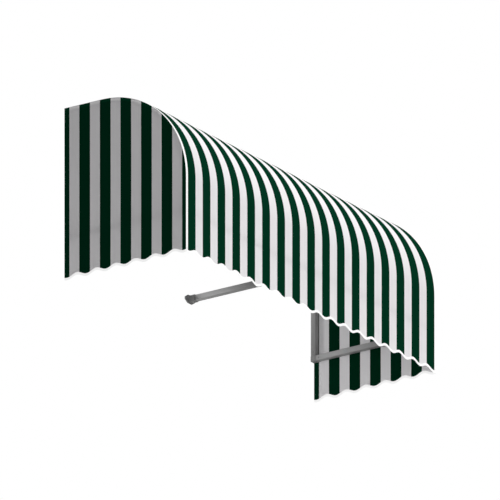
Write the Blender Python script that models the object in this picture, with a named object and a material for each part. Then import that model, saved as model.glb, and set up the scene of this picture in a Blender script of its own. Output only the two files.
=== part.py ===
"""Fixed round-nose awning: a striped fabric cover stretched over a square-tube frame.

X runs along the wall, -Y points out from the wall and +Z is up. The wall is the plane y = 0.
The origin is the centre of the head tee's back face, where the middle bow meets the head bars.
"""

import math

import bmesh
import bpy
from mathutils import Matrix, Vector

# Driving dimensions, in metres.
WIDTH = 2.670
PROJECTION = 0.912
NOSE_RADIUS = 0.630
DROP = 1.100
ARM_ABOVE_HEM = 0.230
WAVE_PITCH = 0.1454
WAVE_DEPTH = 0.011
VALANCE_BINDING = 0.016
EDGE_BINDING = 0.017

FABRIC = 0.0015
TAPE = 0.0008
FOLDED_TAPE = 0.0015
TUBE = 0.035
TUBE_WALL = 0.0016
TUBE_CORNER = 0.0025
LEAST_CORNER = 0.0005
CUBE = 0.037
CHAMFER = 0.0018
SPIGOT = 0.0312
SPIGOT_WALL = 0.003
SPIGOT_LENGTH = 0.045
TUBE_TO_FABRIC = 0.0022
GAP = 0.0003

PLATE = 0.003
BRACKET_WIDTH = 0.050
BRACKET_LEG = 0.040
BRACKET_REACH = 0.034
BRACKET_AT = 0.950
CLIP_DROP = 0.340
WALL_HOLE = 0.009
WALL_HOLE_IN = 0.025
WALL_HOLE_APART = 0.028
INNER_BEND = 0.001

FLANGE_HALF_LENGTH = 0.050
FLANGE_HALF_HEIGHT = 0.026
FLANGE_TIP_HALF = 0.008
FLANGE_THICKNESS = 0.008
SOCKET = 0.0415
SOCKET_WALL = 0.00295
SOCKET_LENGTH = 0.045
SOCKET_CORNER = 0.004
FLANGE_SHOULDER = 0.001

CLAMP_BAR_WIDTH = 0.020
CLAMP_BAR_THICKNESS = 0.003
CLAMP_BAR_LENGTH = 2.600
CLAMP_BAR_CHAMFER = 0.0006
CLAMP_Y = -0.016
CLAMP_SCREWS_AT = (0.250, 0.700, 1.150)

STRAP_WIDTH = 0.025
STRAP_THICKNESS = 0.0012
STRAP_CORNER = 0.004
FRONT_STRAPS_AT = (0.450, 1.050)
SIDE_STRAP_OUT = 0.650

HEAD_RADIUS = 0.00425
HEAD_HEIGHT = 0.0026
SHANK_RADIUS = 0.0021
SHANK_LENGTH = 0.014
HOLE_RADIUS = 0.0025
DRILL_START = 0.002
SCREW_DRILL = 0.020
WALL_DRILL = 0.014

SAME_PLACE = 1e-6
ARC_STEPS = 20
STEPS_PER_WAVE = 6
ROUND_STEPS = 12

# Places worked out from them.
TOP = TUBE / 2 + TUBE_TO_FABRIC + FABRIC
HEM = TOP - DROP
SIDE_X = WIDTH / 2 - FABRIC - TUBE_TO_FABRIC - TUBE / 2
REAR_Y = -CUBE / 2
FRONT_Y = -(PROJECTION - FABRIC - TUBE_TO_FABRIC - TUBE / 2)
ARM_Z = HEM + ARM_ABOVE_HEM + TUBE / 2
NOSE_Y = -(PROJECTION - NOSE_RADIUS)
NOSE_Z = TOP - NOSE_RADIUS
REACH = CUBE / 2 + GAP


def clear_scene():
    for old in list(bpy.data.objects):
        bpy.data.objects.remove(old)


def material(name, colour, roughness, metallic=0.0):
    made = bpy.data.materials.new(name)
    made.use_nodes = True
    shader = made.node_tree.nodes["Principled BSDF"]
    shader.inputs["Base Color"].default_value = (*colour, 1.0)
    shader.inputs["Roughness"].default_value = roughness
    shader.inputs["Metallic"].default_value = metallic
    return made


def add_object(name, bm, finish, smooth_angle=35):
    """Makes an object of the bmesh, with its faces turned outwards and its round stretches smooth."""
    bmesh.ops.recalc_face_normals(bm, faces=bm.faces)
    mesh = bpy.data.meshes.new(name)
    bm.to_mesh(mesh)
    bm.free()
    mesh.materials.append(finish)
    mesh.shade_smooth()
    mesh.set_sharp_from_angle(angle=math.radians(smooth_angle))
    made = bpy.data.objects.new(name, mesh)
    bpy.context.scene.collection.objects.link(made)
    return made


def place(made, point, direction):
    """Moves an object built along +Z so that it starts at point and runs in direction."""
    made.location = point
    made.rotation_mode = "QUATERNION"
    made.rotation_quaternion = Vector(direction).to_track_quat("Z", "Y")
    return made


def grow(bm, faces, keep=False):
    """Extrudes the faces in place and returns the end faces and their corners. keep leaves a first cap."""
    grown = bmesh.ops.extrude_face_region(bm, geom=faces)["geom"]
    if not keep:
        bmesh.ops.delete(bm, geom=faces, context="FACES_ONLY")
    ends = [part for part in grown if isinstance(part, bmesh.types.BMFace)]
    corners = [part for part in grown if isinstance(part, bmesh.types.BMVert)]
    return ends, corners


def extrude(bm, faces, by, keep=False):
    """Extrudes the faces by a vector and returns the new end faces."""
    ends, corners = grow(bm, faces, keep)
    bmesh.ops.translate(bm, verts=corners, vec=Vector(by))
    return ends


def inset(bm, faces, by):
    """Shrinks the faces by the same distance on every side, leaving a rim round them."""
    bmesh.ops.inset_region(bm, faces=faces, thickness=by, use_even_offset=True)


def square_loop(bm, size, radius, steps=2):
    """Edges of a square with round corners, in the plane z = 0."""
    flat = size / 2 - radius
    points = []
    for corner in range(4):
        middle = math.radians(45 + 90 * corner)
        centre = Vector((math.copysign(flat, math.cos(middle)), math.copysign(flat, math.sin(middle)), 0))
        for step in range(steps + 1):
            angle = middle + math.radians(90 * (step / steps - 0.5))
            points.append(centre + radius * Vector((math.cos(angle), math.sin(angle), 0)))
    verts = [bm.verts.new(point) for point in points]
    return [bm.edges.new((verts[i - 1], verts[i])) for i in range(len(verts))]


def square_ring(bm, size, wall, radius):
    """Flat faces between an outer and an inner rounded square: the section of a square tube."""
    loops = square_loop(bm, size, radius) + square_loop(bm, size - 2 * wall, max(radius - wall, LEAST_CORNER))
    return bmesh.ops.bridge_loops(bm, edges=loops)["faces"]


def tube(name, start, end, finish):
    """A straight square tube with open ends."""
    bm = bmesh.new()
    run = Vector(end) - Vector(start)
    extrude(bm, square_ring(bm, TUBE, TUBE_WALL, TUBE_CORNER), (0, 0, run.length), keep=True)
    return place(add_object(name, bm, finish), start, run)


def bow(name, x, finish):
    """A bent square tube: level from the wall, round the nose and down to the front bar."""
    bm = bmesh.new()
    section = square_ring(bm, TUBE, TUBE_WALL, TUBE_CORNER)
    upright = Matrix.Rotation(math.radians(90), 3, "X")
    bmesh.ops.rotate(bm, verts=bm.verts, cent=(0, 0, 0), matrix=upright)
    bmesh.ops.translate(bm, verts=bm.verts, vec=(0, REAR_Y - REACH, 0))
    end = extrude(bm, section, (0, NOSE_Y - (REAR_Y - REACH), 0), keep=True)
    step = Matrix.Rotation(math.radians(90 / ARC_STEPS), 3, "X")
    for _ in range(ARC_STEPS):
        end, corners = grow(bm, end)
        bmesh.ops.rotate(bm, verts=corners, cent=(0, NOSE_Y, NOSE_Z), matrix=step)
    extrude(bm, end, (0, 0, ARM_Z + REACH - NOSE_Z))
    made = add_object(name, bm, finish, smooth_angle=30)
    made.location.x = x
    return made


def outermost_face(bm, direction):
    """The face that looks in this direction and lies furthest that way."""
    bm.normal_update()
    facing = [face for face in bm.faces if face.normal.dot(direction) > 0.99]
    return max(facing, key=lambda face: face.calc_center_median().dot(direction))


def connector(name, centre, arms, finish):
    """A cast cube with chamfered edges and a hollow spigot for each tube that it joins."""
    bm = bmesh.new()
    bmesh.ops.create_cube(bm, size=CUBE)
    edges = bm.edges[:]
    bmesh.ops.bevel(bm, geom=edges, offset=CHAMFER, segments=1, profile=0.5, affect="EDGES", material=-1)
    for arm in map(Vector, arms):
        face = outermost_face(bm, arm)
        inset(bm, [face], (CUBE - SPIGOT) / 2 - CHAMFER)
        end = extrude(bm, [face], arm * SPIGOT_LENGTH)
        inset(bm, end, SPIGOT_WALL)
        extrude(bm, end, -arm * (SPIGOT_LENGTH - SPIGOT_WALL))
    made = add_object(name, bm, finish)
    made.location = centre
    return made


def cylinder(bm, radius, height, turn=Matrix()):
    """A closed cylinder on the Z axis, standing on z = 0, then turned and moved by a matrix."""
    bmesh.ops.create_cone(
        bm, cap_ends=True, segments=ROUND_STEPS, radius1=radius, radius2=radius, depth=height,
        matrix=turn @ Matrix.Translation((0, 0, height / 2)),
    )


def helper(name, bm):
    """An object that only cuts others: it isn't part of the model."""
    bmesh.ops.recalc_face_normals(bm, faces=bm.faces)
    mesh = bpy.data.meshes.new(name)
    bm.to_mesh(mesh)
    bm.free()
    made = bpy.data.objects.new(name, mesh)
    bpy.context.scene.collection.objects.link(made)
    made.hide_render = True
    made.display_type = "WIRE"
    return made


def cut(made, cutter):
    """Takes the cutter's shape out of an object."""
    boolean = made.modifiers.new(cutter.name, "BOOLEAN")
    boolean.operation = "DIFFERENCE"
    boolean.object = cutter


def drill(name, points, direction, radius, depth, targets):
    """Round holes of one radius through the targets, each starting a little before its point."""
    bm = bmesh.new()
    turn = Vector(direction).to_track_quat("Z", "Y").to_matrix().to_4x4()
    for point in points:
        start = Vector(point) - Vector(direction) * DRILL_START
        cylinder(bm, radius, depth, Matrix.Translation(start) @ turn)
    cutter = helper(name, bm)
    for target in targets:
        cut(target, cutter)


def screw(name, point, direction, finish):
    """A pan-head screw: its head rests a hair above point, and its shank runs in direction."""
    bm = bmesh.new()
    cylinder(bm, HEAD_RADIUS, HEAD_HEIGHT)
    top = outermost_face(bm, Vector((0, 0, 1)))
    inset(bm, [top], HEAD_RADIUS - SHANK_RADIUS)
    extrude(bm, [top], (0, 0, SHANK_LENGTH))
    seat = Vector(point) - Vector(direction) * (HEAD_HEIGHT + GAP)
    return place(add_object(name, bm, finish), seat, direction)


def wave(along, middle):
    """Height of the hem's wave at a distance along the edge. It is lowest at the middle."""
    return HEM - WAVE_DEPTH * math.cos(2 * math.pi * (along - middle) / WAVE_PITCH)


def wave_stops(start, end):
    """Even stops along an edge, close enough together to draw the wave."""
    count = math.ceil((end - start) / WAVE_PITCH * STEPS_PER_WAVE)
    return [start + (end - start) * i / count for i in range(count + 1)]


def nose_outline(inside):
    """(y, z) points from the wall to the end of the nose, at a distance inside the cover's outer face."""
    radius = NOSE_RADIUS - inside
    points = [(0, TOP - inside)]
    for i in range(ARC_STEPS + 1):
        angle = math.radians(90 * i / ARC_STEPS)
        points.append((NOSE_Y - radius * math.sin(angle), NOSE_Z + radius * math.cos(angle)))
    return points


def canopy(finish):
    """One sheet over the top and down the front, with a wavy lower edge."""
    bm = bmesh.new()
    half = WIDTH / 2
    chain = [bm.verts.new((-half, y, z)) for y, z in nose_outline(0)]
    edges = [bm.edges.new(pair) for pair in zip(chain, chain[1:])]
    grown = bmesh.ops.extrude_edge_only(bm, edges=edges)["geom"]
    moved = [part for part in grown if isinstance(part, bmesh.types.BMVert)]
    bmesh.ops.translate(bm, verts=moved, vec=(WIDTH, 0, 0))
    far_end = min(moved, key=lambda vert: vert.co.z)
    hem = [bm.verts.new((x, -PROJECTION, wave(x, 0))) for x in wave_stops(-half, half)]
    bm.faces.new([far_end, chain[-1], *hem])
    made = add_object("canopy", bm, finish)
    if sum(face.normal.z for face in made.data.polygons) < 0:
        made.data.flip_normals()
    shell = made.modifiers.new("thickness", "SOLIDIFY")
    shell.thickness = FABRIC
    shell.offset = -1
    shell.use_even_offset = True
    return made


def wing(name, side, finish):
    """A flat end panel under the canopy's edge, with a wavy lower edge. side is -1 left and 1 right."""
    bm = bmesh.new()
    inside = FABRIC + GAP
    outline = nose_outline(inside)
    front = PROJECTION - inside
    outline += [(-out, wave(out, PROJECTION / 2)) for out in reversed(wave_stops(0, front))]
    face = bm.faces.new([bm.verts.new((side * WIDTH / 2, y, z)) for y, z in outline])
    extrude(bm, [face], (-side * FABRIC, 0, 0), keep=True)
    return add_object(name, bm, finish)


def wavy_band(name, stops, middle, to_point, inwards, finish):
    """A folded tape that follows the hem. to_point turns (distance along, height) into a point."""
    bm = bmesh.new()
    upper = [bm.verts.new(to_point(at, wave(at, middle) - GAP)) for at in stops]
    lower = [bm.verts.new(to_point(at, wave(at, middle) - VALANCE_BINDING)) for at in stops]
    faces = [bm.faces.new(corners) for corners in zip(upper, upper[1:], lower[1:], lower)]
    extrude(bm, faces, Vector(inwards) * FOLDED_TAPE, keep=True)
    return add_object(name, bm, finish)


def edge_binding(name, side, finish):
    """A tape along the canopy's end, from the wall over the nose and down to the hem."""
    bm = bmesh.new()
    outline = [*nose_outline(-GAP), (-PROJECTION - GAP, HEM)]
    chain = [bm.verts.new((side * WIDTH / 2, y, z)) for y, z in outline]
    edges = [bm.edges.new(pair) for pair in zip(chain, chain[1:])]
    grown = bmesh.ops.extrude_edge_only(bm, edges=edges)["geom"]
    moved = [part for part in grown if isinstance(part, bmesh.types.BMVert)]
    bmesh.ops.translate(bm, verts=moved, vec=(-side * EDGE_BINDING, 0, 0))
    made = add_object(name, bm, finish)
    if sum(face.normal.z for face in made.data.polygons) < 0:
        made.data.flip_normals()
    shell = made.modifiers.new("thickness", "SOLIDIFY")
    shell.thickness = TAPE
    shell.offset = 1
    shell.use_even_offset = True
    return made


def strap(name, centre, along, finish):
    """A loop of webbing round a tube."""
    bm = bmesh.new()
    inner = TUBE + 2 * GAP
    section = square_ring(bm, inner + 2 * STRAP_THICKNESS, STRAP_THICKNESS, STRAP_CORNER)
    extrude(bm, section, (0, 0, STRAP_WIDTH), keep=True)
    start = Vector(centre) - Vector(along) * STRAP_WIDTH / 2
    return place(add_object(name, bm, finish), start, along)


def box(name, low, high, chamfer, finish):
    """A flat bar or plate between two corners, with a small chamfer."""
    low, high = Vector(low), Vector(high)
    bm = bmesh.new()
    size = high - low
    bmesh.ops.create_cube(bm, size=1, matrix=Matrix.Diagonal((*size, 1)))
    edges = bm.edges[:]
    bmesh.ops.bevel(bm, geom=edges, offset=chamfer, segments=1, profile=0.5, affect="EDGES", material=-1)
    made = add_object(name, bm, finish)
    made.location = (low + high) / 2
    return made


def angle_plate(name, corner, wall_leg, reach_leg, width, finish):
    """A bent plate: one leg on the wall, the other reaching out. corner is the middle of its outer bend."""
    bm = bmesh.new()
    leg, reach = Vector(wall_leg), Vector(reach_leg)
    leg_skin, reach_skin = leg.normalized() * PLATE, reach.normalized() * PLATE
    along = leg.cross(reach).normalized()
    start = Vector(corner) - along * width / 2
    section = [(0, 0, 0), reach, reach + leg_skin, leg_skin + reach_skin, leg + reach_skin, leg]
    verts = [bm.verts.new(start + Vector(point)) for point in section]
    extrude(bm, [bm.faces.new(verts)], along * width, keep=True)
    for at, radius in ((start, PLATE + INNER_BEND), (start + leg_skin + reach_skin, INNER_BEND)):
        bend = [
            edge for edge in bm.edges
            if all((vert.co - at).cross(along).length < SAME_PLACE for vert in edge.verts)
        ]
        bmesh.ops.bevel(bm, geom=bend, offset=radius, segments=3, profile=0.5, affect="EDGES", material=-1)
    return add_object(name, bm, finish)


def wall_foot(finish):
    """A cast foot for the middle arm: a six-sided flange on the wall with a square socket on it."""
    bm = bmesh.new()
    tip, nose, rise = FLANGE_HALF_LENGTH, FLANGE_TIP_HALF, FLANGE_HALF_HEIGHT
    shoulder = SOCKET / 2 + FLANGE_SHOULDER
    outline = [(tip, nose), (tip, -nose), (shoulder, -rise), (-shoulder, -rise)]
    outline += [(-x, -z) for x, z in outline]
    back = bm.faces.new([bm.verts.new((x, 0, ARM_Z + z)) for x, z in outline])
    extrude(bm, [back], (0, -FLANGE_THICKNESS, 0), keep=True)
    made = add_object("wall_foot", bm, finish)
    bm = bmesh.new()
    root = FLANGE_THICKNESS / 2
    section = square_ring(bm, SOCKET, SOCKET_WALL, SOCKET_CORNER)
    extrude(bm, section, (0, 0, SOCKET_LENGTH + root), keep=True)
    socket = place(helper("foot_socket_shape", bm), (0, -root, ARM_Z), (0, -1, 0))
    join = made.modifiers.new("socket", "BOOLEAN")
    join.operation = "UNION"
    join.object = socket
    return made


def build_frame(tube_finish, cast_finish):
    """The square tubes and the cast pieces that join them. Returns the pieces that screws go through."""
    left, right, out, up = Vector((-1, 0, 0)), Vector((1, 0, 0)), Vector((0, -1, 0)), Vector((0, 0, 1))
    made = {}
    for side, word in ((-1, "left"), (1, "right")):
        x = side * SIDE_X
        inwards = Vector((-side, 0, 0))
        head, foot = Vector((x, REAR_Y, 0)), Vector((x, REAR_Y, ARM_Z))
        front = Vector((x, FRONT_Y, ARM_Z))
        low, high = foot + up * REACH, head - up * REACH
        made["upright_" + word] = tube("wall_upright_" + word, low, high, tube_finish)
        tube("lower_arm_" + word, foot + out * REACH, front - out * REACH, tube_finish)
        bow("bow_" + word, x, tube_finish)
        connector("head_corner_" + word, head, (-up, out, inwards), cast_finish)
        connector("rear_corner_" + word, foot, (up, out), cast_finish)
        connector("front_corner_" + word, front, (up, -out, inwards), cast_finish)
        head_end = Vector((0, REAR_Y, 0)) - inwards * REACH
        front_end = Vector((0, FRONT_Y, ARM_Z)) - inwards * REACH
        made["head_bar_" + word] = tube("head_bar_" + word, head + inwards * REACH, head_end, tube_finish)
        tube("front_bar_" + word, front + inwards * REACH, front_end, tube_finish)
    bow("bow_middle", 0, tube_finish)
    made["head_tee"] = connector("head_tee", (0, REAR_Y, 0), (left, right, out), cast_finish)
    connector("front_cross", (0, FRONT_Y, ARM_Z), (left, right, -out, up), cast_finish)
    made["foot"] = wall_foot(cast_finish)
    arm_start = Vector((0, -FLANGE_THICKNESS - GAP, ARM_Z))
    arm_end = Vector((0, FRONT_Y + REACH, ARM_Z))
    made["arm_middle"] = tube("lower_arm_middle", arm_start, arm_end, tube_finish)
    return made


def build_brackets(frame, plate_finish, screw_finish):
    """The angle plates that hold the frame to the wall, each with two wall holes and a screw."""
    apart = (-WALL_HOLE_APART / 2, WALL_HOLE_APART / 2)
    for x, word, under, bar in (
        (-BRACKET_AT, "left", TUBE / 2, frame["head_bar_left"]),
        (0, "middle", CUBE / 2, frame["head_tee"]),
        (BRACKET_AT, "right", TUBE / 2, frame["head_bar_right"]),
    ):
        top = -under - GAP
        leg, reach = (0, 0, -BRACKET_LEG), (0, -BRACKET_REACH, 0)
        bracket = angle_plate("head_bracket_" + word, (x, 0, top), leg, reach, BRACKET_WIDTH, plate_finish)
        holes = [(x + shift, -PLATE, top - WALL_HOLE_IN) for shift in apart]
        drill("wall_holes_" + word, holes, (0, 1, 0), WALL_HOLE / 2, WALL_DRILL, [bracket])
        seat = (x, REAR_Y, top - PLATE)
        drill("bracket_screw_hole_" + word, [seat], (0, 0, 1), HOLE_RADIUS, SCREW_DRILL, [bracket, bar])
        screw("bracket_screw_" + word, seat, (0, 0, 1), screw_finish)
    for side, word in ((-1, "left"), (1, "right")):
        face = side * (SIDE_X - TUBE / 2 - GAP)
        leg, reach = (-side * BRACKET_LEG, 0, 0), (0, -BRACKET_REACH, 0)
        corner = (face, 0, -CLIP_DROP)
        clip = angle_plate("upright_clip_" + word, corner, leg, reach, BRACKET_WIDTH, plate_finish)
        holes = [(face - side * WALL_HOLE_IN, -PLATE, -CLIP_DROP + shift) for shift in apart]
        drill("clip_holes_" + word, holes, (0, 1, 0), WALL_HOLE / 2, WALL_DRILL, [clip])
        seat = (face - side * PLATE, REAR_Y, -CLIP_DROP)
        upright = frame["upright_" + word]
        drill("clip_screw_hole_" + word, [seat], (side, 0, 0), HOLE_RADIUS, SCREW_DRILL, [clip, upright])
        screw("clip_screw_" + word, seat, (side, 0, 0), screw_finish)
    seat = (0, -FLANGE_THICKNESS - SOCKET_LENGTH / 2, ARM_Z - SOCKET / 2)
    layers = [frame["foot"], frame["arm_middle"]]
    drill("foot_screw_hole", [seat], (0, 0, 1), HOLE_RADIUS, SCREW_DRILL, layers)
    screw("foot_screw", seat, (0, 0, 1), screw_finish)
    mid_tip = (FLANGE_HALF_LENGTH + SOCKET / 2) / 2
    holes = [(shift, -FLANGE_THICKNESS, ARM_Z) for shift in (-mid_tip, mid_tip)]
    drill("foot_holes", holes, (0, 1, 0), WALL_HOLE / 2, WALL_DRILL, [frame["foot"]])


def build_cover(fabric, tape):
    """The sewn cover: the canopy, its two wings and the white tape that binds its edges."""
    sheet = canopy(fabric)
    stops = wave_stops(-WIDTH / 2, WIDTH / 2)
    wavy_band("valance_binding_front", stops, 0, lambda at, z: (at, -PROJECTION, z), (0, 1, 0), tape)
    for side, word in ((-1, "left"), (1, "right")):
        wing("wing_" + word, side, fabric)
        stops = wave_stops(0, PROJECTION - FOLDED_TAPE - GAP)
        wavy_band(
            "valance_binding_" + word, stops, PROJECTION / 2,
            lambda at, z, x=side * WIDTH / 2: (x, -at, z), (-side, 0, 0), tape,
        )
        edge_binding("edge_binding_" + word, side, tape)
    return sheet


def build_fixings(sheet, frame, bar_finish, webbing, screw_finish):
    """What holds the cover to the frame: a clamp bar over its rear edge, and loops of webbing."""
    low = Vector((-CLAMP_BAR_LENGTH / 2, CLAMP_Y - CLAMP_BAR_WIDTH / 2, TOP + GAP))
    high = Vector((CLAMP_BAR_LENGTH / 2, CLAMP_Y + CLAMP_BAR_WIDTH / 2, TOP + GAP + CLAMP_BAR_THICKNESS))
    bar = box("head_clamp_bar", low, high, CLAMP_BAR_CHAMFER, bar_finish)
    places = sorted([-x for x in CLAMP_SCREWS_AT] + list(CLAMP_SCREWS_AT))
    seats = [(x, CLAMP_Y, high.z) for x in places]
    layers = [bar, sheet, frame["head_bar_left"], frame["head_bar_right"]]
    drill("clamp_holes", seats, (0, 0, -1), HOLE_RADIUS, SCREW_DRILL, layers)
    for number, seat in enumerate(seats, 1):
        screw(f"clamp_screw_{number}", seat, (0, 0, -1), screw_finish)
    places = sorted([-x for x in FRONT_STRAPS_AT] + list(FRONT_STRAPS_AT))
    for number, x in enumerate(places, 1):
        strap(f"front_strap_{number}", (x, FRONT_Y, ARM_Z), (1, 0, 0), webbing)
    for side, word in ((-1, "left"), (1, "right")):
        strap("side_strap_" + word, (side * SIDE_X, -SIDE_STRAP_OUT, ARM_Z), (0, 1, 0), webbing)


def main():
    clear_scene()
    grey_paint = material("grey_painted_tube", (0.27, 0.27, 0.27), 0.45)
    grey_casting = material("grey_painted_casting", (0.24, 0.24, 0.24), 0.55)
    zinc_plate = material("zinc_plated_steel", (0.60, 0.60, 0.58), 0.35, 1.0)
    screw_steel = material("stainless_screw", (0.65, 0.65, 0.65), 0.30, 1.0)
    striped_cloth = material("striped_acrylic_cloth", (0.02, 0.12, 0.08), 0.85)
    white_tape = material("white_binding_tape", (0.85, 0.85, 0.85), 0.80)
    mill_bar = material("aluminium_bar", (0.75, 0.75, 0.76), 0.40, 1.0)
    black_webbing = material("black_webbing", (0.03, 0.03, 0.03), 0.85)
    frame = build_frame(grey_paint, grey_casting)
    build_brackets(frame, zinc_plate, screw_steel)
    sheet = build_cover(striped_cloth, white_tape)
    build_fixings(sheet, frame, mill_bar, black_webbing, screw_steel)


main()
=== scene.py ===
# %% [markdown]
# # A striped awning with a round nose
#
# This object is a fixed awning, the kind that hangs over a shop door or a window. A frame of square tube is
# bolted to the wall, and a sewn cover of striped canvas is stretched over it: one long cloth over the top
# and down the front, and a flat cloth, called a wing, at each end. White tape binds every edge that shows.
#
# The frame is loaded as it was packed. What this lesson adds is everything soft, the bent and cast parts of
# the frame with the roundness that they really have, the small fixings, and a material for each surface.

# %% Load the frame
import math

import bmesh
import bpy
from mathutils import Matrix, Vector


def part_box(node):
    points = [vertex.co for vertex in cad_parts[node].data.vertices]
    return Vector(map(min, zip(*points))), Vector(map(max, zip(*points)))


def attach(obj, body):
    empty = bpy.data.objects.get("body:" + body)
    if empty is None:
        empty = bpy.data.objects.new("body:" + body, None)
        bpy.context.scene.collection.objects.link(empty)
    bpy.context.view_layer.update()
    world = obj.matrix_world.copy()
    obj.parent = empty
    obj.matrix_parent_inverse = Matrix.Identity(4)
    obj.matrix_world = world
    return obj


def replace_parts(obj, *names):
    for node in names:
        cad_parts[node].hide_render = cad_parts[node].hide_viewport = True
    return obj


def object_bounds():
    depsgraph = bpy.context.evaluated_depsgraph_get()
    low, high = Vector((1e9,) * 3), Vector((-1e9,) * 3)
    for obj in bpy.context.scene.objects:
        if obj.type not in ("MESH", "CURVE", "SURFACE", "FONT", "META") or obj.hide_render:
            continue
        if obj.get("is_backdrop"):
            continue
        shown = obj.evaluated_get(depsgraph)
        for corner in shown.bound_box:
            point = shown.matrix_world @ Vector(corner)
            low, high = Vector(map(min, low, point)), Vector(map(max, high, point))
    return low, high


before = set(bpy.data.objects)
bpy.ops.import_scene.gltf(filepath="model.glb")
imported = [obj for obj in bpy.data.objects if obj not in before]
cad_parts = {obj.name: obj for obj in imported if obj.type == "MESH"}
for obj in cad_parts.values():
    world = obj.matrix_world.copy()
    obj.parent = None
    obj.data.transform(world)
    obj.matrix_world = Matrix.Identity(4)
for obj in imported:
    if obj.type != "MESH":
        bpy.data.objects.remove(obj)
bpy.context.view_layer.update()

print("frame pieces:", len(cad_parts))

# %% [markdown]
# ## The awning's measures
#
# X runs along the wall, -Y points out from it and +Z is up. The widths and heights are read from the packed
# cloth, so that the looks always sit where the frame is. The radius of the nose and the pitch of the
# scallops can't be read from a box, so they are given again here.

# %% Read and set the measures
canopy_low, canopy_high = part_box("canopy")
HALF_WIDTH = canopy_high.x
PROJECTION = -canopy_low.y
TOP = canopy_high.z
SCALLOP_DEPTH = 0.011
SCALLOP_PITCH = 0.1454
HEM = canopy_low.z + SCALLOP_DEPTH
NOSE_RADIUS = 0.630
NOSE_Y = NOSE_RADIUS - PROJECTION
NOSE_Z = TOP - NOSE_RADIUS
TOP_RUN = -NOSE_Y
NOSE_RUN = NOSE_RADIUS * math.pi / 2
DROP_RUN = NOSE_Z - HEM
CLOTH_THICKNESS = 0.0006
TAPE_THICKNESS = 0.0005
HEM_TAPE_HEIGHT = 0.016
EDGE_TAPE_WIDTH = 0.017
UNDER_TAPE = 0.014
print(f"width {2 * HALF_WIDTH:.3f}, projection {PROJECTION:.3f}, drop {TOP - HEM:.3f}")
print(f"cloth from the wall to the hem: {TOP_RUN + NOSE_RUN + DROP_RUN:.3f}")

# %% [markdown]
# ## Colours and shader nodes
#
# A colour that is picked on a screen is stored in sRGB, where the numbers follow the eye. The renderer adds
# up light, so it needs them linear. One function turns the one into the other, and every colour below is
# written as an sRGB hex value. A second small function adds a node, sets its sockets and joins it to
# others, which keeps each material short.

# %% Two helpers for materials
def linear(hex_colour):
    """An sRGB hex colour as linear red, green, blue and alpha."""
    channels = [int(hex_colour[i : i + 2], 16) / 255 for i in (1, 3, 5)]
    return (*[c / 12.92 if c <= 0.04045 else ((c + 0.055) / 1.055) ** 2.4 for c in channels], 1.0)


def add_node(finish, kind, settings=None, links=None):
    """Adds a node to a material, sets its sockets or properties, and links other nodes' outputs into it."""
    tree = finish.node_tree
    node = tree.nodes.new("ShaderNode" + kind)
    sockets = []
    for name, value in (settings or {}).items():
        if isinstance(name, int) or name in node.inputs:
            sockets.append((name, value))
        else:
            setattr(node, name, value)
    for name, value in sockets:
        node.inputs[name].default_value = value
    for name, output in (links or {}).items():
        tree.links.new(output, node.inputs[name])
    return node


def new_finish(name, **shader_settings):
    """A material with a Principled shader. A word's underscores stand for the spaces in the socket's name."""
    finish = bpy.data.materials.new(name)
    finish.use_nodes = True
    shader = finish.node_tree.nodes["Principled BSDF"]
    for word, value in shader_settings.items():
        shader.inputs[word.replace("_", " ")].default_value = value
    return finish, shader


def join(finish, output, shader, socket):
    finish.node_tree.links.new(output, shader.inputs[socket])


print("white in linear light:", [round(c, 3) for c in linear("#F4F4F0")])

# %% [markdown]
# ## Material: solution-dyed acrylic canvas
#
# Awning canvas is woven from acrylic yarn that was dyed before it was spun, so the colour is deep and even,
# and the surface is matt with hardly any shine. The stripes are woven in, with edges that waver by half a
# yarn. Three things show this. Faint streaks run along the cloth where one yarn is a little darker than the
# next. The stripe edges wobble by a fraction of a millimetre. A plain weave lifts the surface. The dark
# stripes are 3 mm wider than half of a pair, because a bright stripe looks wider than a dark one of its own
# width, and the two should look alike. The real yarns are 0.5 mm apart, which is too fine to show, so the
# weave is drawn at 3 mm.
#
# Sunlight shines through the canvas a little, so the inside of a sunlit awning glows. A Translucent shader,
# mixed with the matt one, carries that share of the light through.
#
# The pattern reads the cloth's own map, which is in metres along and across the cut cloth, so it bends with
# the cloth over the nose. The wings are cut from the same canvas, with their stripes hanging straight down.

# %% Striped canvas
GREEN_DEEP, GREEN_LIGHT = linear("#003320"), linear("#033924")
WHITE_DEEP, WHITE_LIGHT = linear("#E4E3E4"), linear("#EDECED")
YARN_DRAWN = 0.003
STREAK_WIDTH = 0.0025
STREAK_LENGTH = 0.30
EDGE_WOBBLE = 0.0004
WOBBLE_LENGTH = 0.012
WEAVE_DEPTH = 0.0002
SHARE_THROUGH = 0.35
DARK_WIDER = 0.003
MAP_NAME = "cloth_metres"


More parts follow.
